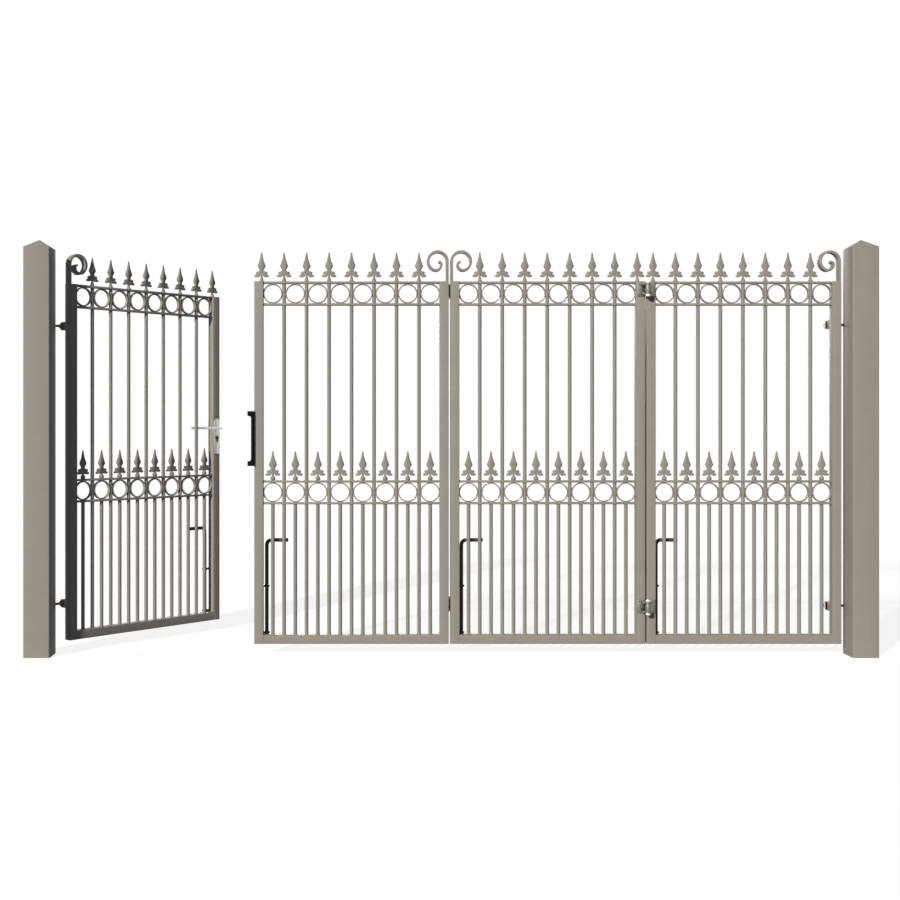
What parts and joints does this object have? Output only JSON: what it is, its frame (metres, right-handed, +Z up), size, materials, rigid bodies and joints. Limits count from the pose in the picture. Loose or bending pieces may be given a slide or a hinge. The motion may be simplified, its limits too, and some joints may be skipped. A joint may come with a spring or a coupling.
{
  "type": "bi-fold driveway gate",
  "caption": "Steel driveway gate between square posts: a pass leaf with a lever lock and folding leaves with round bars, rings, spear finials, scrolls and drop bolts.",
  "frame": {"origin": "centre of the left post's base face at ground level", "axes": "+X along the gate from the left post to the right post, -Y to the street side, +Z up"},
  "size_m": [4.525, 0.9579, 2.218],
  "materials": {
    "stone_paint": "satin stone grey paint",
    "black_paint": "satin black paint",
    "hinge_steel": "dull galvanised",
    "zinc": "bright zinc",
    "lock_steel": "satin"
  },
  "bodies": {
    "posts": {"left_post": "stone_paint", "right_post": "stone_paint", "left_cap": "stone_paint", "right_cap": "stone_paint", "left_hinge_brackets": "hinge_steel", "right_hinge_brackets": "hinge_steel"},
    "leaf_1": {"leaf_1_left_stile": "stone_paint", "leaf_1_right_stile": "stone_paint", "leaf_1_bottom_rail": "stone_paint", "leaf_1_infill": "stone_paint", "leaf_1_finials": "stone_paint", "leaf_1_scroll": "stone_paint", "leaf_1_bolt_guides": "black_paint", "leaf_1_hinge_eyes": "hinge_steel", "lock_plates": "lock_steel"},
    "drop_bolt_1": {"leaf_1_drop_bolt": "black_paint"},
    "leaf_2": {"leaf_2_left_stile": "stone_paint", "leaf_2_right_stile": "stone_paint", "leaf_2_bottom_rail": "stone_paint", "leaf_2_infill": "stone_paint", "leaf_2_finials": "stone_paint", "leaf_2_scroll": "stone_paint", "leaf_2_bolt_guides": "black_paint", "back_fold_eyes": "hinge_steel", "lock_keep": "black_paint"},
    "drop_bolt_2": {"leaf_2_drop_bolt": "black_paint"},
    "leaf_3": {"leaf_3_left_stile": "stone_paint", "leaf_3_right_stile": "stone_paint", "leaf_3_bottom_rail": "stone_paint", "leaf_3_infill": "stone_paint", "leaf_3_finials": "stone_paint", "leaf_3_scroll": "stone_paint", "leaf_3_bolt_guides": "black_paint", "front_fold_forks": "hinge_steel", "front_fold_pins": "zinc", "back_fold_forks": "hinge_steel", "back_fold_pins": "zinc"},
    "drop_bolt_3": {"leaf_3_drop_bolt": "black_paint"},
    "leaf_4": {"leaf_4_left_stile": "stone_paint", "leaf_4_right_stile": "stone_paint", "leaf_4_bottom_rail": "stone_paint", "leaf_4_infill": "stone_paint", "leaf_4_finials": "stone_paint", "leaf_4_scroll": "stone_paint", "leaf_4_bolt_guides": "black_paint", "leaf_4_hinge_eyes": "hinge_steel", "front_fold_eyes": "hinge_steel"},
    "drop_bolt_4": {"leaf_4_drop_bolt": "black_paint"},
    "lever": {"lever_handles": "lock_steel"}
  },
  "joints": [
    {"name": "leaf_1_swing", "type": "hinge", "parent": "posts", "child": "leaf_1", "pos_m": [-0.007, 0.088, 1.013], "axis": [0, 0, 1], "range_deg": [-45.5, 44.5]},
    {"name": "leaf_4_swing", "type": "hinge", "parent": "posts", "child": "leaf_4", "pos_m": [4.392, 0.088, 1.013], "axis": [0, 0, -1], "range_deg": [0, 90]},
    {"name": "leaf_3_fold", "type": "hinge", "parent": "leaf_4", "child": "leaf_3", "pos_m": [3.23225, -0.06875, 1.11], "axis": [0, 0, 1], "range_deg": [0, 180]},
    {"name": "leaf_2_fold", "type": "hinge", "parent": "leaf_3", "child": "leaf_2", "pos_m": [2.18775, 0.06875, 1.11], "axis": [0, 0, -1], "range_deg": [0, 180]},
    {"name": "drop_bolt_1_slide", "type": "slide", "parent": "leaf_1", "child": "drop_bolt_1", "axis": [0, 0, 1], "range_m": [-0.07, 0]},
    {"name": "drop_bolt_2_slide", "type": "slide", "parent": "leaf_2", "child": "drop_bolt_2", "axis": [0, 0, 1], "range_m": [-0.07, 0]},
    {"name": "drop_bolt_3_slide", "type": "slide", "parent": "leaf_3", "child": "drop_bolt_3", "axis": [0, 0, 1], "range_m": [-0.07, 0]},
    {"name": "drop_bolt_4_slide", "type": "slide", "parent": "leaf_4", "child": "drop_bolt_4", "axis": [0, 0, 1], "range_m": [-0.07, 0]},
    {"name": "lever_press", "type": "hinge", "parent": "leaf_1", "child": "lever", "pos_m": [0.83465, 0.81892, 1.212], "axis": [0.7133, -0.7009, 0], "range_deg": [0, 40], "stiffness_Nm_per_rad": 2.5, "springref_deg": -20.05}
  ]
}
